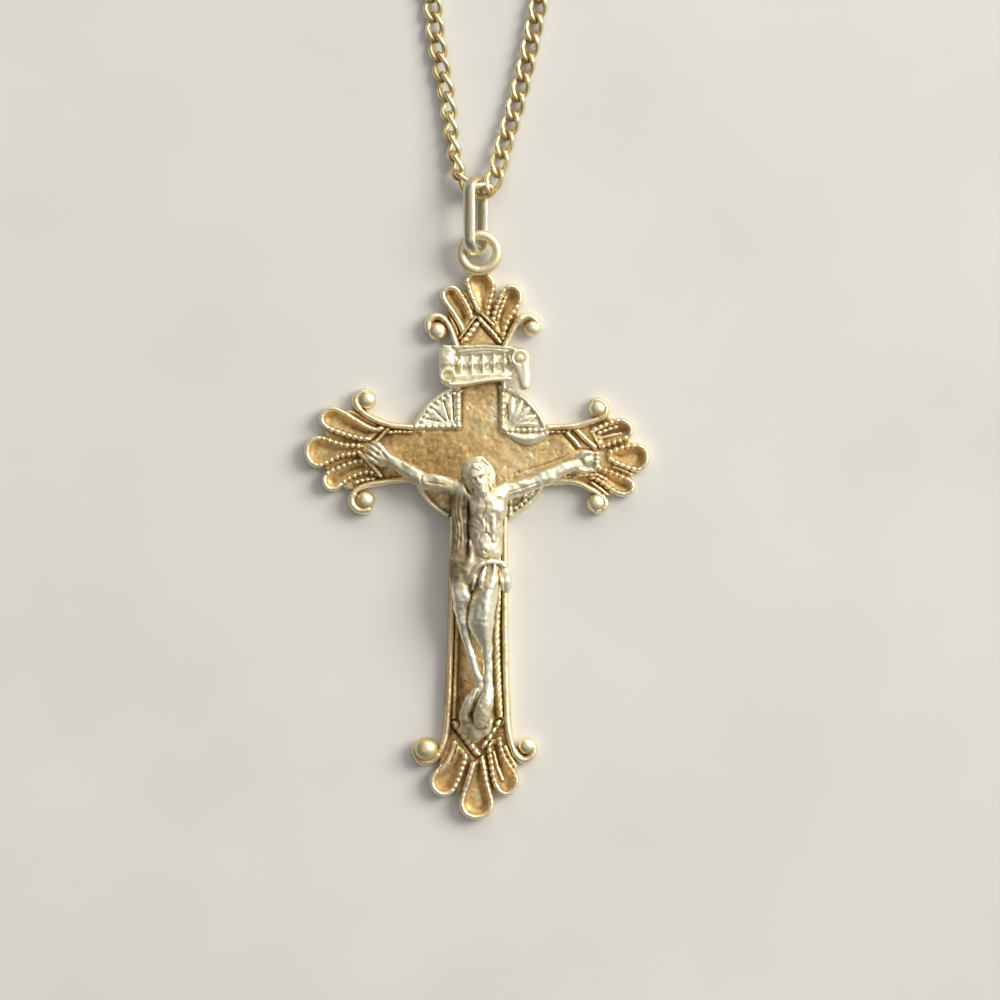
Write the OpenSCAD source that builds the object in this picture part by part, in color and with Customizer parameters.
// Crucifix pendant lying on its back, with its bail and neck chain laid out above it.
// Millimetres. The origin is on the cross's flat back, behind the crossing of the arms.
// +Z is the front, +Y runs up the cross and +X to the right as it is looked at.

/* [Cross] */
// Thickness of the plate, which is also the height of the sunken panel
plate_t = 0.75; // [0.6:0.05:0.95]
// Height of the smooth ridges that edge the limbs and run out into the scrolls
ridge_h = 1.15; // [1.05:0.05:1.15]
// Width of those ridges
ridge_w = 0.5; // [0.4:0.05:0.6]
// Height of the petal rims and of the rope mouldings
relief_h = 1.2; // [1.1:0.05:1.2]
// Width of a petal's rim
rim_w = 0.4; // [0.3:0.05:0.5]
// Radius of the disc of rays behind the crossing
glory_r = 5.6; // [5.2:0.1:5.8]

/* [Hanging ring] */
// Outer diameter of the ring soldered to the top petal
ring_od = 3.5; // [3.3:0.1:3.6]
// Diameter of its wire
ring_wire = 0.6; // [0.5:0.05:0.65]

/* [Bail] */
// Overall length of the bail
bail_len = 6.2; // [6:0.1:6.4]
// Width of its strip
bail_w = 0.9; // [0.7:0.05:0.9]
// Thickness of its strip
bail_t = 0.5; // [0.4:0.05:0.5]
// Distance between the middles of its two strands
bail_gap = 2.1; // [2:0.05:2.2]
// Lean of the bail from standing on edge, in degrees
bail_lean = 25; // [20:1:27]

/* [Figure and title scroll] */
// Air left between the cross's relief and what is pinned on it
seat_gap = 0.04; // [0.03:0.01:0.06]
// Radius of the pins that hold the figure and the scroll
pin_r = 0.25; // [0.2:0.01:0.27]
// Thickness of the title scroll
scroll_t = 0.5; // [0.4:0.05:0.6]

/* [Chain] */
// Thickness of the links as they lie flat
chain_h = 0.85; // [0.7:0.05:0.85]
// Outer diameter of the spring-ring clasp
clasp_od = 6; // [5:0.5:6.5]

/* [Hidden] */
$fn = 32;

// Everything pinned on the cross starts at this height
seat_z = relief_h + seat_gap;
bore_r = pin_r + 0.05;
// A small lift that keeps the underside of a piece off the surface it lies on
floor_gap = 0.01;

// Ring: middle of its hole, and the height at which it crosses the bail's lower strand
ring_at = [-0.04, 15.4, 1.18];
ring_major = (ring_od - ring_wire) / 2;

// Upright: height, left edge, right edge
UPRIGHT = [
    [9.2, -1.7, 1.9],
    [2.2, -2.0, 2.1],
    [-2.6, -2.3, 2.15],
    [-9.0, -2.45, 2.2],
    [-14.0, -2.55, 2.25],
    [-17.5, -2.7, 2.35],
    [-21.6, -2.9, 2.5]
];

// Cross bar: place along it, lower edge, upper edge
BAR = [
    [-8.7, -2.7, 3.0],
    [-7.8, -2.6, 2.7],
    [-6.9, -2.4, 2.4],
    [-5.4, -2.2, 2.25],
    [5.0, -2.55, 2.2],
    [6.9, -2.6, 2.25],
    [8.4, -2.7, 2.7]
];

// Petals of the four shells: tip x, tip y, tip radius, root x, root y
TOP_PETALS = [
    [-2.25, 12.1, 0.9, -0.9, 9.2],
    [0, 12.8, 1.2, 0.1, 9.6],
    [2.45, 12.1, 0.92, 1.0, 9.2]
];
LEFT_PETALS = [
    [-11.5, 2.75, 1.0, -7.4, 1.5],
    [-12.2, 0.1, 1.42, -8.0, 0.3],
    [-11.35, -2.2, 1.0, -7.6, -0.9]
];
RIGHT_PETALS = [
    [11.15, 2.15, 0.87, 7.5, 1.2],
    [11.9, -0.35, 1.32, 8.4, 0],
    [11.2, -2.6, 0.92, 7.7, -1.2]
];
BOTTOM_PETALS = [
    [-3.0, -25.45, 1.1, -1.4, -21.8],
    [-0.25, -26.9, 1.44, -0.25, -22.6],
    [2.05, -25.5, 1.12, 0.9, -21.8]
];
// Shells: their petals, and the limb's two corners that the web between the petals runs back to
SHELLS = [
    [TOP_PETALS, [1.9, 9.0], [-1.7, 9.0]],
    [LEFT_PETALS, [-8.5, -2.6], [-8.5, 2.9]],
    [RIGHT_PETALS, [8.3, -2.6], [8.3, 2.6]],
    [BOTTOM_PETALS, [2.4, -21.5], [-2.8, -21.5]]
];

// Scrolled ridges, one down each side of the four limbs. The ridge follows the edge through two
// or three points and then turns round its scroll: middle, radius, first and last angle, and
// ball: middle, radius.
RIDGES = [
    [[[-1.75, 5.0], [-1.45, 8.3], [-2.3, 9.3]], [-3.3, 9.65, 0.72], [0, 190], [-3.25, 9.35, 0.56]],
    [[[1.85, 5.0], [1.65, 8.3], [2.6, 9.3]], [3.65, 9.8, 0.74], [180, 0], [4.1, 9.6, 0.5]],
    [[[-4.6, 1.98], [-6.9, 2.15], [-8.2, 2.9]], [-8.95, 4.05, 0.66], [260, 100], [-8.65, 4.3, 0.58]],
    [[[-4.9, -2.0], [-7.2, -2.2], [-8.3, -2.55]], [-9.2, -3.65, 0.76], [75, 280], [-8.8, -3.7, 0.6]],
    [[[4.8, 1.98], [7.2, 2.05], [8.4, 2.4]], [9.1, 3.35, 0.62], [-80, 70], [9.1, 3.55, 0.59]],
    [[[4.6, -2.3], [7.2, -2.4], [8.3, -2.75]], [8.95, -3.8, 0.72], [75, -70], [9.1, -4.0, 0.6]],
    [[[-2.15, -5.0], [-2.35, -15.5], [-2.65, -20.6]], [-4.2, -23.0, 0.86], [0, -170], [-4.3, -22.75, 0.76]],
    [[[1.95, -5.0], [2.1, -15.5], [2.3, -21.0]], [3.25, -22.8, 0.88], [190, 350], [3.65, -22.5, 0.55]]
];

// Rope mouldings that frame the sunken panel, each closed in a point at its shell
ROPES = [
    [[-1.1, 5.0], [-1.2, 8.6], [-0.1, 10.2], [1.3, 8.6], [1.2, 5.0]],
    [[-4.9, 1.4], [-6.6, 1.4], [-8.6, 0.3], [-7.4, -1.5], [-4.9, -1.4]],
    [[4.9, 1.35], [6.5, 1.4], [8.6, -0.1], [7.1, -1.8], [4.8, -1.75]],
    [[-1.55, -5.3], [-1.75, -14.0], [-2.0, -20.4], [-0.25, -22.5], [1.65, -20.4], [1.5, -14.0], [1.4, -5.3]]
];
rope_w = 0.35;

// Disc of rays: a raised edge, and rays that spread over each quarter
glory_h = 1.0;
glory_edge = 0.45;
ray_w = 0.3;
RAY_ANGLES = [32, 45, 58, 122, 135, 148, 212, 225, 238, 302, 315, 328];

// Pins: two for the scroll, then one for each hand and one for the feet
SCROLL_PINS = [[-1.0, 6.8], [1.1, 6.8]];
FIGURE_PINS = [[-7.7, 0.05], [8.2, -0.6], [-0.05, -19.4]];

// Title scroll: outline of its plate, and the curls at its two ends: middle, outer radius
SCROLL_EDGE = [
    [-3.0, 8.25], [-0.4, 8.3], [1.6, 8.05], [3.0, 8.08], [2.5, 5.65], [0.6, 5.35], [-1.3, 5.1], [-2.75, 5.2]
];
SCROLL_TAIL = [[3.3, 7.2], [3.55, 6.2], [3.5, 5.3], [3.4, 4.75]];
left_curl = [-2.46, 5.85, 0.6];
right_curl = [3.05, 7.25, 0.82];
// Raised lozenges along the scroll: first and last place, height, number, half width and height
lozenge_x = [-1.35, 2.0];
lozenge_y = 6.75;
lozenge_n = 5;
lozenge_half = [0.3, 0.7];

// Figure. Each row is a limb, from one ball to another: x, y, z, r, x, y, z, r
LIMBS = [
    [-1.45, -3.2, 2.0, 0.85, 1.3, -3.4, 2.0, 0.85],
    [-1.0, -4.0, 2.15, 1.1, 0.9, -4.2, 2.15, 1.1],
    [-0.1, -4.2, 2.2, 1.25, 0.2, -7.2, 2.3, 1.3],
    [0.2, -7.2, 2.3, 1.3, -0.1, -9.0, 2.2, 1.5],
    [-1.9, -2.7, 2.0, 0.62, -4.5, -2.0, 1.95, 0.56],
    [-4.5, -2.0, 1.95, 0.56, -6.5, -0.6, 1.75, 0.45],
    [-6.5, -0.6, 1.75, 0.45, -7.6, 0.05, 1.65, 0.52],
    [-7.6, 0.05, 1.65, 0.52, -8.4, 0.5, 1.55, 0.35],
    [1.8, -3.1, 2.0, 0.62, 4.6, -2.05, 1.95, 0.56],
    [4.6, -2.05, 1.95, 0.56, 7.0, -0.85, 1.75, 0.45],
    [7.0, -0.85, 1.75, 0.45, 8.4, -0.6, 1.65, 0.52],
    [8.4, -0.6, 1.65, 0.52, 9.0, -0.5, 1.55, 0.38],
    [0, -3.4, 2.4, 0.7, 0, -2.4, 2.9, 0.75],
    [-0.3, -1.35, 2.9, 1.05, 0, -2.3, 3.0, 0.92],
    [0, -2.6, 2.9, 0.7, 0.05, -3.0, 2.75, 0.45],
    [-1.0, -1.9, 2.4, 0.5, -1.2, -4.9, 2.35, 0.35],
    [0.7, -1.7, 2.5, 0.5, 0.9, -3.4, 2.4, 0.35],
    [-1.2, -8.7, 2.1, 1.0, 1.1, -8.6, 2.1, 1.0],
    [-1.25, -10.2, 2.2, 1.05, 1.0, -10.2, 2.2, 1.05],
    [-1.2, -8.7, 2.1, 1.0, -1.25, -10.2, 2.2, 1.05],
    [1.1, -8.6, 2.1, 1.0, 1.0, -10.2, 2.2, 1.05],
    [1.85, -9.0, 2.0, 0.5, 2.0, -10.5, 1.9, 0.4],
    [-1.1, -10.2, 2.3, 0.95, -1.0, -11.6, 2.75, 0.8],
    [0.7, -10.2, 2.3, 1.0, 0.45, -12.0, 2.85, 0.88],
    [-1.0, -11.6, 2.75, 0.8, 0.15, -18.0, 2.0, 0.5],
    [0.45, -12.0, 2.85, 0.88, 0.6, -18.2, 1.8, 0.5],
    [0.15, -18.0, 2.0, 0.55, -0.4, -21.6, 1.75, 0.62],
    [0.6, -18.2, 1.8, 0.6, 0.1, -21.0, 1.65, 0.65],
    [-0.6, -18.6, 1.75, 0.75, -0.75, -20.4, 1.65, 0.65]
];
limb_fn = 16;

// Bail: the middle of the loop it makes
bail_rise = ((bail_gap + bail_t) * cos(bail_lean) + bail_w * sin(bail_lean)) / 2;
bail_at = [-0.32, 18.19, floor_gap + bail_rise];
bail_half = (bail_len - bail_gap - bail_t) / 2;
bail_corner = 0.12;

// Chain: the middle of the links all the way round, from one side of the clasp to the other
// through the bail. Each row is x, y, z, width of the links seen from above.
low_z = 0.44;
full_w = 1.5;
ROUTE = [
    [-3.4, 182.2, low_z, full_w],
    [-13.0, 181.5, low_z, full_w],
    [-29.0, 177.0, low_z, full_w],
    [-43.0, 168.0, low_z, full_w],
    [-53.5, 155.0, low_z, full_w],
    [-59.5, 139.5, low_z, full_w],
    [-60.5, 123.0, low_z, full_w],
    [-57.0, 107.0, low_z, full_w],
    [-49.5, 92.5, low_z, full_w],
    [-38.5, 80.0, low_z, full_w],
    [-26.0, 69.0, low_z, full_w],
    [-15.0, 58.5, low_z, full_w],
    [-8.0, 49.0, low_z, full_w],
    [-4.6, 41.0, low_z, full_w],
    [-3.7, 35.0, low_z, full_w],
    [-3.4, 32.0, low_z, full_w],
    [-2.95, 29.5, low_z, full_w],
    [-2.5, 27.2, low_z, 1.4],
    [-2.25, 24.8, 0.55, 1.25],
    [-1.95, 22.8, 0.85, 1.1],
    [-1.65, 21.35, 1.15, 1.0],
    [-1.1, 20.35, 1.33, 0.95],
    [-0.35, 19.95, 1.38, 0.95],
    [0.45, 20.0, 1.36, 0.95],
    [1.05, 20.5, 1.28, 1.0],
    [1.3, 21.5, 1.1, 1.1],
    [1.6, 22.9, 0.8, 1.2],
    [2.15, 24.8, 0.52, 1.35],
    [2.85, 27.2, low_z, full_w],
    [3.5, 29.8, low_z, full_w],
    [4.0, 32.0, low_z, full_w],
    [4.6, 35.0, low_z, full_w],
    [6.4, 41.0, low_z, full_w],
    [10.5, 49.0, low_z, full_w],
    [18.0, 58.5, low_z, full_w],
    [29.0, 69.0, low_z, full_w],
    [41.5, 80.0, low_z, full_w],
    [52.5, 92.5, low_z, full_w],
    [60.0, 107.0, low_z, full_w],
    [63.5, 123.0, low_z, full_w],
    [62.5, 139.5, low_z, full_w],
    [56.5, 155.0, low_z, full_w],
    [46.0, 168.0, low_z, full_w],
    [32.0, 177.0, low_z, full_w],
    [16.0, 181.5, low_z, full_w],
    [6.4, 182.2, low_z, full_w]
];
// Stretches longer than this get a ring in the middle as well
long_stretch = 6;

// Clasp: spring ring between the two ends of the chain, with an eye on each side
clasp_at = [1.5, 182.2];
clasp_wire = 1.2;
eye_od = 1.9;
eye_wire = 0.5;
clasp_major = (clasp_od - clasp_wire) / 2;
eye_major = (eye_od - eye_wire) / 2;
eye_x = clasp_od / 2 + eye_od / 2 - 0.15;

function unit(v) = v / norm(v);
function left_of(v) = [-v.y, v.x];

// Points on an arc, from angle a0 to a1
function arc_points(middle, r, a0, a1, n = 10) =
    [for (i = [0:n]) middle + r * [cos(a0 + (a1 - a0) * i / n), sin(a0 + (a1 - a0) * i / n)]];

// Outline of a teardrop: a round tip, and straight sides that meet at the root
function teardrop(tip, r, root, n = 14) =
    let (back = root - tip, side = acos(r / norm(back)), a = atan2(back.y, back.x))
    concat([root], arc_points(tip, r, a + side, a + 360 - side, n));

// Sideways step at point i of a path, mitred at corners
function side_step(path, i) =
    let (
        before = unit(path[max(i, 1)] - path[max(i, 1) - 1]),
        after = unit(path[min(i, len(path) - 2) + 1] - path[min(i, len(path) - 2)]),
        mid = unit(left_of(before) + left_of(after))
    ) mid / max(0.5, mid * left_of(before));

// Outline of a strip of one width along a path
function strip(path, w) = concat(
    [for (i = [0:len(path) - 1]) path[i] + side_step(path, i) * w / 2],
    [for (i = [len(path) - 1:-1:0]) path[i] - side_step(path, i) * w / 2]
);

// A scrolled ridge's middle line
function ridge_path(row) = concat(row[0], arc_points([row[1].x, row[1].y], row[1].z, row[2].x, row[2].y));

// A point on the smooth curve through four rows, a share t of the way from the second to the third
function smooth(a, b, c, d, t) =
    (2 * b + (c - a) * t + (2 * a - 5 * b + 4 * c - d) * t * t + (3 * b - a - 3 * c + d) * t * t * t) / 2;

function route_point(rows, i, t) =
    smooth(rows[max(i - 1, 0)], rows[i], rows[i + 1], rows[min(i + 2, len(rows) - 1)], t);

// The route with the extra rings on its long stretches
function finer(rows) = concat(
    [for (i = [0:len(rows) - 2])
        each norm(rows[i + 1] - rows[i]) > long_stretch
            ? [rows[i], route_point(rows, i, 0.5)]
            : [rows[i]]],
    [rows[len(rows) - 1]]
);

// The points down one side of the upright or the bar, and back up the other
function there_and_back(one, other) = concat(one, [for (i = [len(other) - 1:-1:0]) other[i]]);

module limb_outline() {
    polygon(there_and_back([for (r = UPRIGHT) [r[1], r[0]]], [for (r = UPRIGHT) [r[2], r[0]]]));
    polygon(there_and_back([for (r = BAR) [r[0], r[1]]], [for (r = BAR) [r[0], r[2]]]));
}

// The plate of one shell: its petals, and the web that joins them to the limb
module shell_plate(shell) {
    for (p = shell[0]) polygon(teardrop([p[0], p[1]], p[2], [p[3], p[4]]));
    polygon(concat([for (p = shell[0]) [p[0], p[1]]], [shell[1], shell[2]]));
}

// The raised rims of a shell's petals
module petal_rims(petals) {
    for (p = petals) {
        tip = [p[0], p[1]];
        root = [p[3], p[4]];
        difference() {
            polygon(teardrop(tip, p[2], root));
            polygon(teardrop(tip, p[2] - rim_w, tip + (root - tip) * 0.72));
        }
    }
}

// The disc's edge and rays, which stop at the limbs
module glory_relief() {
    difference() {
        union() {
            difference() {
                circle(glory_r, $fn = 64);
                circle(glory_r - glory_edge, $fn = 64);
            }
            for (a = RAY_ANGLES)
                rotate(a) translate([glory_r / 2, -ray_w / 2]) square([glory_r / 2 - glory_edge / 2, ray_w]);
        }
        limb_outline();
    }
}

module cross() {
    color("goldenrod")
    difference() {
        union() {
            linear_extrude(plate_t) {
                limb_outline();
                circle(glory_r, $fn = 64);
                for (shell = SHELLS) shell_plate(shell);
            }
            for (shell = SHELLS) linear_extrude(relief_h) petal_rims(shell[0]);
            for (row = RIDGES) linear_extrude(ridge_h) polygon(strip(ridge_path(row), ridge_w));
            for (row = ROPES) linear_extrude(relief_h) polygon(strip(row, rope_w));
            linear_extrude(glory_h) glory_relief();
            for (row = RIDGES)
                translate([row[3].x, row[3].y, max(plate_t, row[3].z + floor_gap)]) sphere(row[3].z);
            translate(ring_at) rotate_extrude($fn = 64) translate([ring_major, 0]) circle(ring_wire / 2);
        }
        for (p = concat(SCROLL_PINS, FIGURE_PINS))
            translate([p.x, p.y, -1]) cylinder(h = relief_h + 2, r = bore_r);
    }
}

// Pins that run down through the plate, flush with its back
module pins(places) {
    for (p = places) translate([p.x, p.y, floor_gap]) cylinder(h = seat_z + 0.2, r = pin_r);
}

// The figure, cut flat where it sits on the relief, with its pins
module corpus() {
    color("lightgray")
    union() {
        intersection() {
            union() {
                for (row = LIMBS) hull() {
                    translate([row[0], row[1], row[2]]) sphere(row[3], $fn = limb_fn);
                    translate([row[4], row[5], row[6]]) sphere(row[7], $fn = limb_fn);
                }
            }
            translate([-20, -30, seat_z]) cube([40, 40, 10]);
        }
        pins(FIGURE_PINS, $fn = limb_fn);
    }
}

module curl(place, edge_w, boss_r) {
    translate([place.x, place.y]) {
        difference() {
            circle(place.z);
            circle(place.z - edge_w);
        }
        circle(boss_r);
    }
}

module lozenge(half_w, half_h) {
    polygon([[half_w, 0], [0, half_h], [-half_w, 0], [0, -half_h]]);
}

module title_scroll() {
    raised = scroll_t + 0.2;
    color("silver")
    union() {
        translate([0, 0, seat_z]) {
            linear_extrude(scroll_t) {
                polygon(SCROLL_EDGE);
                translate([left_curl.x, left_curl.y]) circle(left_curl.z);
                translate([right_curl.x, right_curl.y]) circle(right_curl.z);
            }
            linear_extrude(raised) {
                curl(left_curl, 0.25, 0.12);
                curl(right_curl, 0.3, 0.25);
                polygon(strip(SCROLL_TAIL, 0.7));
                for (i = [0:lozenge_n - 1])
                    translate([lozenge_x[0] + (lozenge_x[1] - lozenge_x[0]) * i / (lozenge_n - 1), lozenge_y])
                        lozenge(lozenge_half.x, lozenge_half.y);
            }
        }
        pins(SCROLL_PINS);
    }
}

// Strip section of the bail, with its corners taken off
module bail_section() {
    x = bail_t / 2;
    y = bail_w / 2;
    c = bail_corner;
    right = [[x - c, -y], [x, c - y], [x, y - c], [x - c, y]];
    polygon(there_and_back(right, [for (p = right) [-p.x, p.y]]));
}

module bail() {
    color("silver")
    translate(bail_at) rotate([0, -90 - bail_lean, 0])
    union() {
        for (turn = [0, 180]) rotate(turn) {
            translate([0, bail_half, 0])
                rotate_extrude(angle = 180, $fn = 64) translate([bail_gap / 2, 0]) bail_section();
            translate([bail_gap / 2, bail_half, 0])
                rotate([90, 0, 0]) linear_extrude(2 * bail_half) bail_section();
        }
    }
}

// Tube along a route, flattened to the width of each row and to one height
module flat_tube(rows, h, sides = 8) {
    last = len(rows) - 1;
    points = [
        for (i = [0:last])
            let (
                run = rows[min(i + 1, last)] - rows[max(i - 1, 0)],
                side = unit([-run.y, run.x, 0])
            )
            for (k = [0:sides - 1])
                [rows[i].x, rows[i].y, rows[i].z]
                    + side * rows[i][3] / 2 * cos(360 * k / sides)
                    + [0, 0, h / 2 * sin(360 * k / sides)]
    ];
    faces = concat(
        [[for (k = [0:sides - 1]) k]],
        [for (i = [0:last - 1], k = [0:sides - 1])
            let (next = (k + 1) % sides)
            [i * sides + k, (i + 1) * sides + k, (i + 1) * sides + next, i * sides + next]],
        [[for (k = [sides - 1:-1:0]) last * sides + k]]
    );
    polyhedron(points, faces, convexity = 10);
}

module chain() {
    color("khaki") flat_tube(finer(ROUTE), chain_h);
}

module clasp() {
    z = clasp_wire / 2 + floor_gap;
    color("khaki")
    translate([clasp_at.x, clasp_at.y, z])
    union() {
        rotate_extrude($fn = 64) translate([clasp_major, 0]) circle(clasp_wire / 2);
        for (end = [-1, 1])
            translate([end * eye_x, 0, 0]) rotate_extrude() translate([eye_major, 0]) circle(eye_wire / 2);
        rotate(60) translate([clasp_od / 2 - 0.3, -0.3, -0.3]) cube([0.9, 0.6, 0.6]);
    }
}

cross();
corpus();
title_scroll();
bail();
chain();
clasp();
